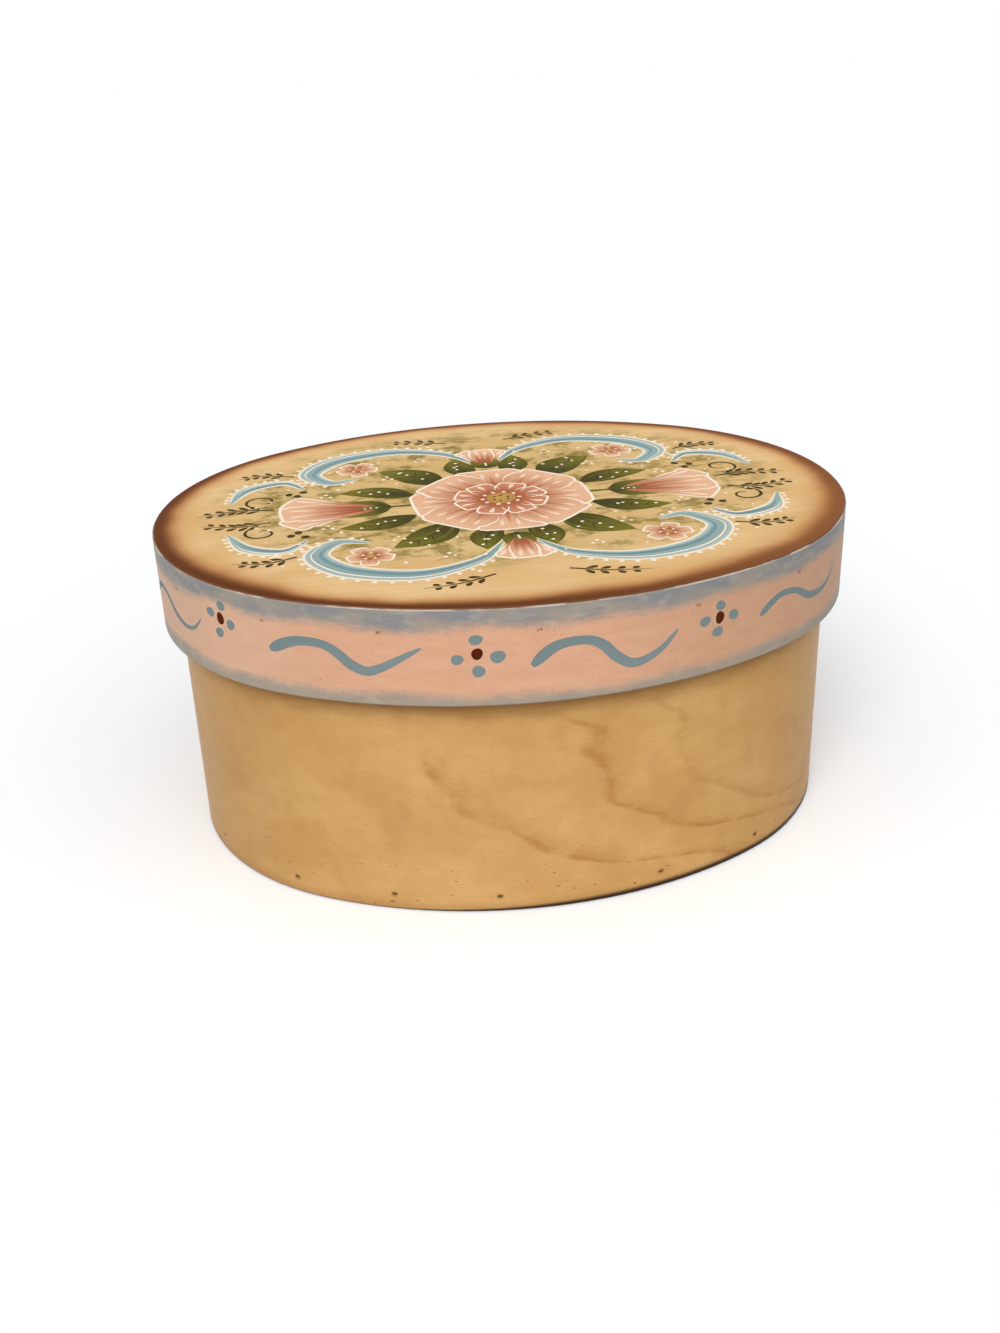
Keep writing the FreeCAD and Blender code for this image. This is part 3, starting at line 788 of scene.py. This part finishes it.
class Design:
    """The paints of the lid's flowers, and the parts drawn with them."""

    def __init__(self):
        self.paints = []
        for attribute, (piece, *look) in LID_PAINTS.items():
            paint = Paint(piece, on_top, brush_paint(*look))
            setattr(self, attribute, paint)
            self.paints.append(paint)

    def petal(self, base, tip, half_width, coat, paint=None, lean=0.0, shaded=True, bold=1.0):
        """A petal from base to tip, widest near its tip, over a darker shade at its foot and with a
        white line round its end."""
        paint = paint or self.pink
        base, tip = Vector(base), Vector(tip)
        side = Vector((base.y - tip.y, tip.x - base.x)).normalized()
        middle = (base + tip) / 2 + side * lean
        count = 30
        line = bend([base, middle, tip], count)
        widths = taper([half_width * share for share in PETAL_SHAPE], count)
        for number in range(1, 6):
            widths[-number] = half_width * 0.98 * math.sqrt(1 - ((6 - number) / 6.05) ** 2)
        if shaded:
            foot = line[:20]
            self.deep.ribbon(foot, [width + 0.9 - 0.045 * number
                                    for number, width in enumerate(widths[:20])], coat)
        paint.ribbon(line, widths, coat + 1)
        self.rim_line(line, widths, coat + 2, bold)

    def rim_line(self, line, widths, coat, bold):
        """A thin white line round the outer end of a petal."""
        outer = range(len(line) // 3, len(line))
        edge = [line[number] + left_of(line, number) * widths[number] * sign
                for sign, order in ((1, outer), (-1, outer[::-1])) for number in order]
        count = 44
        shape = [value * bold for value in (0.05, 0.22, 0.32, 0.38, 0.44, 0.38, 0.32, 0.22, 0.05)]
        self.white.ribbon(bend(edge[::2], count), taper(shape, count), coat)

    def rosette(self, centre, size):
        """The large flower in the middle: broad petals in two layers, short ones over them and a
        ringed heart."""
        for number in range(8):
            angle = number * 90 + jog(2) + (45 if number > 3 else 0)
            coat = 7 if number > 3 else 4
            self.petal(around(angle, size * 0.20, 0, centre),
                       around(angle, size * (1 + jog(0.03)), jog(0.5), centre), size * 0.40, coat,
                       shaded=number > 3)
            for aside, reach in ((-0.17, 0.76), (0.0, 0.82), (0.17, 0.76)):
                self.deep.stroke(spoke(centre, angle, size, (0.34, aside * 0.5),
                                       (0.55, aside * 0.85), (reach, aside * 1.15)),
                                 (1.2, 0.9, 0.45, 0.05), coat + 2, 18)
            for aside in (-0.25, -0.09, 0.09, 0.25):
                self.pale.stroke(spoke(centre, angle, size, (0.90 - abs(aside) * 0.3, aside),
                                       (0.68, aside * 0.9)), (0.3, 0.55, 0.4, 0.05), coat + 2, 12)
        for number in range(8):
            angle = 22.5 + number * 45 + jog(3)
            self.petal(*spoke(centre, angle, size, (0.10, 0), (0.52, 0)), size * 0.165, 10,
                       self.deep, bold=0.8)
            self.pale.stroke(spoke(centre, angle, size, (0.48, 0), (0.32, 0)),
                             (0.5, 0.7, 0.4, 0.05), 12, 12)
        self.ochre.dot(*centre, size * 0.17, 13)
        for number in range(10):
            self.white.dot(*around(number * 36 + jog(3), size * 0.205, 0, centre), 0.6, 14)
        for number in range(6):
            self.dark.dot(*around(number * 60 + 20 + jog(5), size * 0.085, 0, centre), 0.5, 14)

    def blossom(self, centre, size):
        """A small flower with five petals."""
        start = chance.uniform(0, 72)
        for number in range(5):
            angle = start + number * 72 + jog(4)
            self.petal(*spoke(centre, angle, size, (0.12, 0), (1 + jog(0.06), 0)),
                       size * 0.36, 4, bold=0.7)
            self.deep.stroke(spoke(centre, angle, size, (0.25, 0), (0.62, 0)),
                             (0.5, 0.35, 0.05), 6, 10)
        self.ochre.dot(*centre, size * 0.2, 7)
        for number in range(5):
            angle = start + 36 + number * 72
            self.white.dot(*around(angle, size * 0.33, 0, centre), 0.38, 8)

    def tulip(self, root, angle, size):
        """A side flower that opens outwards: three petals over a green cup."""
        for aside in (1, -1):
            self.petal(*spoke(root, angle, size, (0.10, aside * 0.08), (0.92, aside * 0.37)),
                       size * 0.21, 4, lean=-aside * size * 0.13, shaded=False)
            self.pale.stroke(spoke(root, angle, size, (0.82, aside * 0.40), (0.55, aside * 0.27)),
                             (0.4, 0.7, 0.5, 0.05), 6, 14)
        self.petal(*spoke(root, angle, size, (0.06, 0), (1, 0)), size * 0.23, 6)
        for aside in (-0.10, 0.0, 0.10):
            self.deep.stroke(spoke(root, angle, size, (0.15, aside * 0.5), (0.45, aside),
                                   (0.72, aside * 1.3)), (1.0, 0.8, 0.4, 0.05), 8, 18)
        for aside in (-0.06, 0.06):
            self.pale.stroke(spoke(root, angle, size, (0.90, aside * 1.6), (0.62, aside)),
                             (0.4, 0.6, 0.4, 0.05), 8, 14)
        for aside in (-1, 1):
            self.olive.stroke(spoke(root, angle, size, (-0.12, 0), (0.06, aside * 0.16),
                                    (0.36, aside * 0.24)), (0.6, 1.7, 1.3, 0.05), 9, 20)
        self.olive.stroke(spoke(root, angle, size, (-0.15, 0), (0.26, 0)),
                          (0.5, 1.7, 1.2, 0.05), 10, 16)
        for number in range(3):
            self.white.dot(*around(angle, size * (0.02 + 0.06 * number), jog(0.2), root), 0.4, 11)

    def leaf(self, root, angle, length, half_width, lean):
        """A leaf with a dark vein and white dots."""
        spine = [around(angle, 0, 0, root), around(angle, length * 0.5, lean, root),
                 around(angle, length, lean * 0.4, root)]
        count = 26
        shape = [half_width * share for share in (0.15, 0.8, 1.05, 0.95, 0.6, 0.04)]
        line, widths = bend(spine, count), taper(shape, count)
        self.olive.ribbon(line, widths, 2)
        self.dark.ribbon(line[2:-3], taper((0.3, 0.22, 0.15, 0.05), count - 5), 3)
        for number in (7, 12, 17):
            for sign in (-1, 1):
                ahead = line[number + 1] - line[number - 1]
                side = left_of(line, number) * sign
                start = line[number] + side * 0.2
                self.dark.stroke([start, start + side * widths[number] * 0.7
                                  + ahead.normalized() * widths[number] * 0.6],
                                 (0.2, 0.12, 0.05), 3, 8)
        for number in (9, 14, 19):
            place = line[number]
            self.white.dot(place.x + jog(1.2), place.y + jog(1.2), 0.5, 4)

    def scroll(self, points, shape, flip):
        """A blue scroll with pale edges, a white line along each side and pearls outside."""
        count = 60
        line, widths = bend(points, count), taper(shape, count)
        self.blue.ribbon(line, widths, 2)
        sides = [left_of(line, number) for number in range(count)]

        def beside(share, more, first, last):
            return [line[number] + sides[number] * (widths[number] * share + more)
                    for number in range(first, last)]

        for sign in (-1, 1):
            self.white.ribbon(beside(sign, sign * 0.15, 0, count),
                              taper((0.1, 0.3, 0.36, 0.36, 0.32, 0.1), count), 3)
        self.white.ribbon(beside(0.45 * flip, 0.0, 8, 48),
                          taper((0.05, 0.26, 0.36, 0.26, 0.05), 40), 3)
        self.blue_shade.ribbon(beside(-0.35 * flip, 0.0, 5, 52),
                               taper((0.05, 0.5, 0.8, 0.5, 0.05), 47), 3)
        walked = 0.0
        for number in range(2, count - 1):
            walked += (line[number] - line[number - 1]).length
            if walked > 2.4:
                walked = 0.0
                place = line[number] + sides[number] * flip * (widths[number] + 1.2)
                self.white.dot(place.x + jog(0.12), place.y + jog(0.12), 0.68 + jog(0.08), 3)

    def curl(self, centre, start, turns, outer, inner):
        """A thin spiral tendril."""
        points = []
        steps = 11
        for number in range(steps + 1):
            share = number / steps
            angle = start + turns * 360 * share
            points.append(around(angle, outer + (inner - outer) * share, 0, centre))
        self.dark.stroke(points, (0.1, 0.42, 0.42, 0.336, 0.14), 2, steps * 5)

    def sprig(self, points, leaves, length):
        """A stem with small dabs on both sides."""
        line = bend(points, 40)
        self.dark.ribbon(line, taper((0.42, 0.36, 0.26, 0.08), 40), 2)
        for number in range(leaves):
            place = 8 + int(number * 30 / leaves)
            ahead = (line[place + 1] - line[place - 1]).normalized()
            for sign in (-1, 1):
                side = Vector((-ahead.y, ahead.x)) * sign
                start = line[place] + side * 0.7
                reach = length * (1 - 0.5 * number / leaves)
                end = start + (ahead * 0.8 + side * 0.6) * reach
                middle = (start + end) / 2 + ahead * 0.3
                self.dark.stroke([start, middle, end], (0.15, 0.66, 0.72, 0.12), 2, 12)

    def trio(self, x, y, spread):
        for angle in (90, 210, 330):
            self.white.dot(*around(angle + jog(14), spread, 0, (x, y)), 0.55 + jog(0.08), 4)

    def finish(self):
        for paint in self.paints:
            paint.finish("painted_top")


QUARTERS = ((1, 1), (-1, 1), (1, -1), (-1, -1))    # signs of x and y
TRIOS = ((30, 25.5, 1.5), (48, 12.5, 1.4), (19, 40, 1.4), (62, 31, 1.2))    # x, y and spread
SCATTER = ((9, 31), (17, 27), (27, 20), (33, 12), (44, 18), (52, 27), (57, 22), (66, 21), (10, 41),
           (31, 41), (69, 9), (52, 9), (46, 36), (14, 52), (60, 38), (24, 31), (40, 5), (63, 11))


def lid_flowers():
    design = Design()
    for across, deep in QUARTERS:
        def put(x, y):
            return x * across + jog(0.5), y * deep + jog(0.5)

        def turned(angle):
            angle = angle if deep > 0 else -angle
            return angle if across > 0 else 180 - angle

        hand = across * deep
        design.leaf(put(15, 16), turned(42) + jog(3), 23, 5.6, 2.6 * hand)
        design.leaf(put(24, 8), turned(16) + jog(3), 22, 4.4, 2.2 * hand)
        design.leaf(put(5, 22), turned(80) + jog(3), 17, 4.2, -1.8 * hand)
        design.scroll([put(4, 34), put(12, 45), put(27, 51), put(44, 46), put(52, 34), put(46, 24.5),
                       put(38, 27)], (0.3, 1.7, 3.0, 3.6, 3.2, 1.9, 0.3), hand)
        design.scroll([put(54, 21), put(60, 28), put(70, 24), put(75, 13)],
                      (0.3, 1.7, 2.1, 0.3), hand)
        design.blossom(put(38.5, 36), 6.2)
        design.curl(put(66, 13), turned(250), 1.15 * hand, 5.5, 1.4)
        design.sprig([put(63, 5), put(72, 6.5), put(83, 3.5)], 5, 3.9)
        design.sprig([put(57, 33), put(65, 36), put(73, 34)], 4, 3.3)
        design.sprig([put(9, 55), put(18, 59), put(28, 60.5)], 4, 3.2)
        for x, y in ((56, 15), (58.6, 17.0), (54.4, 18.2)):
            design.dark.dot(*put(x, y), 1.15, 2)
        for x, y, spread in TRIOS:
            design.trio(*put(x, y), spread)
        for x, y in SCATTER:
            x, y = put(x, y)
            design.white.dot(x + jog(1.5), y + jog(1.5), 0.5 + jog(0.14), 4)
    for side in (0, 180):
        design.olive.stroke([around(side, 20), around(side, 34)], (0.8, 0.7, 0.6), 2, 12)
        design.tulip(around(side, 34), side, 27)
    for side in (90, 270):
        design.tulip(around(side, 30), side, 16)
    design.rosette((0.0, 0.0), 25)
    design.finish()


def lid_film():
    """The coat of paint on the lid's top, from the middle to the bevel, over the seam between the
    board and the band."""
    mesh = bmesh.new()
    rings, steps = 14, 180
    rows = []
    for ring in range(1, rings + 1):
        share = ring / rings
        row = []
        for step in range(steps):
            x, y = LID.at(step / steps * 4 * LID.quarter, -BEVEL)
            row.append(mesh.verts.new(on_top(x * share, y * share, FILM)))
        rows.append(row)
    foot = [mesh.verts.new(vertex.co - Vector((0, 0, 5 * FILM * MM))) for vertex in rows[-1]]
    middle = mesh.verts.new(on_top(0, 0, FILM))
    for first, second in zip(rows, rows[1:] + [foot]):
        for step in range(steps):
            after = (step + 1) % steps
            mesh.faces.new((first[step], first[after], second[after], second[step]))
    for step in range(steps):
        mesh.faces.new((middle, rows[0][(step + 1) % steps], rows[0][step]))
    mesh.faces.new(foot)
    paint_lid("lid_wash", mesh, painted_top())


birch = varnished_birch()
board = sawn_board()
band = painted_band()
steel = rusty_steel()
covered = painted_steel()
for node, material in (("box_side", birch), ("box_bottom", board), ("box_brads", steel),
                       ("box_lap_tacks", steel), ("lid_side", band), ("lid_board", board),
                       ("lid_brads", covered), ("lid_lap_tacks", covered)):
    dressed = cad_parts[node].data.materials
    dressed.clear()
    dressed.append(material)
lid_film()
band_ornament()
lid_flowers()


# The camera, found from the outlines in the photograph
VIEW_TURN = math.radians(-7.52)
VIEW_RISE = math.radians(25.90)
VIEW_ROLL = math.radians(-2.10)
VIEW_DISTANCE = 402.92
VIEW_ASIDE = -2.0
VIEW_ABOVE = -7.41
FOCAL = 1382.3       # in pixels of the photograph
FRAME_HEIGHT = 1333.0
SENSOR = 36.0

# The light: an upward face gets about 1 in all
SKY = 0.20
LAMPS = (            # name, strength, spread in degrees, and where its light comes from
    ("softbox", 1.75, 100.0, (-0.05, -0.64, 1.0)),
    ("key_light", 1.38, 36.0, (-0.34, -0.95, 1.0)))
FLOOR_SEEN = (0.952, 0.963, 0.975, 1.0)    # as the camera sees it: cool, against the box's warm glow
FLOOR_BOUNCE = (0.45, 0.45, 0.45, 1.0)     # as the box sees it
FLOOR_GLOW = 0.065
FLOOR_HALF = 4000.0
FLOOR_DROP = 0.02    # below the box's foot, so that the two don't share a face


def add_camera():
    data = bpy.data.cameras.new("camera")
    data.sensor_width = SENSOR
    data.lens = FOCAL / FRAME_HEIGHT * SENSOR
    data.clip_start, data.clip_end = 0.01, 50.0
    camera = placed("camera", data)
    back = Vector((math.sin(VIEW_TURN) * math.cos(VIEW_RISE),
                   -math.cos(VIEW_TURN) * math.cos(VIEW_RISE), math.sin(VIEW_RISE)))
    right = (-back).cross(Vector((0, 0, 1))).normalized()
    up = right.cross(-back)
    middle = Vector((0, 0, LID_TOP / 2))
    place = middle + back * VIEW_DISTANCE + right * VIEW_ASIDE + up * VIEW_ABOVE
    turned = right * math.cos(VIEW_ROLL) + up * math.sin(VIEW_ROLL)
    raised = up * math.cos(VIEW_ROLL) - right * math.sin(VIEW_ROLL)
    axes = Matrix((turned, raised, back)).transposed().to_4x4()
    camera.matrix_world = Matrix.Translation(place * MM) @ axes
    scene.camera = camera


def add_floor():
    """A white floor that keeps the box's soft shadow, but throws little light back up at the box."""
    mesh = bmesh.new()
    bmesh.ops.create_grid(mesh, x_segments=8, y_segments=8, size=FLOOR_HALF * MM)
    m = Material("floor_white", roughness=0.9, specular=0.0)
    m.shader.inputs["Emission Color"].default_value = (1.0, 1.0, 1.0, 1.0)
    direct = m.direct()
    m.colour(m.mix(direct, FLOOR_BOUNCE, FLOOR_SEEN))
    m.feed(m.shader.inputs["Emission Strength"], m.times(direct, FLOOR_GLOW))
    floor = build("floor", mesh, m.material)
    floor.location.z = -FLOOR_DROP * MM


def add_light():
    world = bpy.data.worlds.new("studio")
    scene.world = world
    world.use_nodes = True
    t = Tree(world.node_tree)
    t.tree.nodes.clear()
    strength = t.blend(t.direct(), SKY, 1.0)
    background = t.add("Background", ((1.0, 1.0, 1.0, 1.0), strength))
    t.add("OutputWorld", (background.outputs[0],))
    for name, energy, spread, towards in LAMPS:
        lamp = bpy.data.lights.new(name, "SUN")
        lamp.energy = energy
        lamp.angle = math.radians(spread)
        sun = placed(name, lamp)
        sun.rotation_mode = "QUATERNION"
        sun.rotation_quaternion = Vector(towards).to_track_quat("Z", "Y")


add_camera()
add_floor()
add_light()
scene.view_settings.view_transform = "Standard"
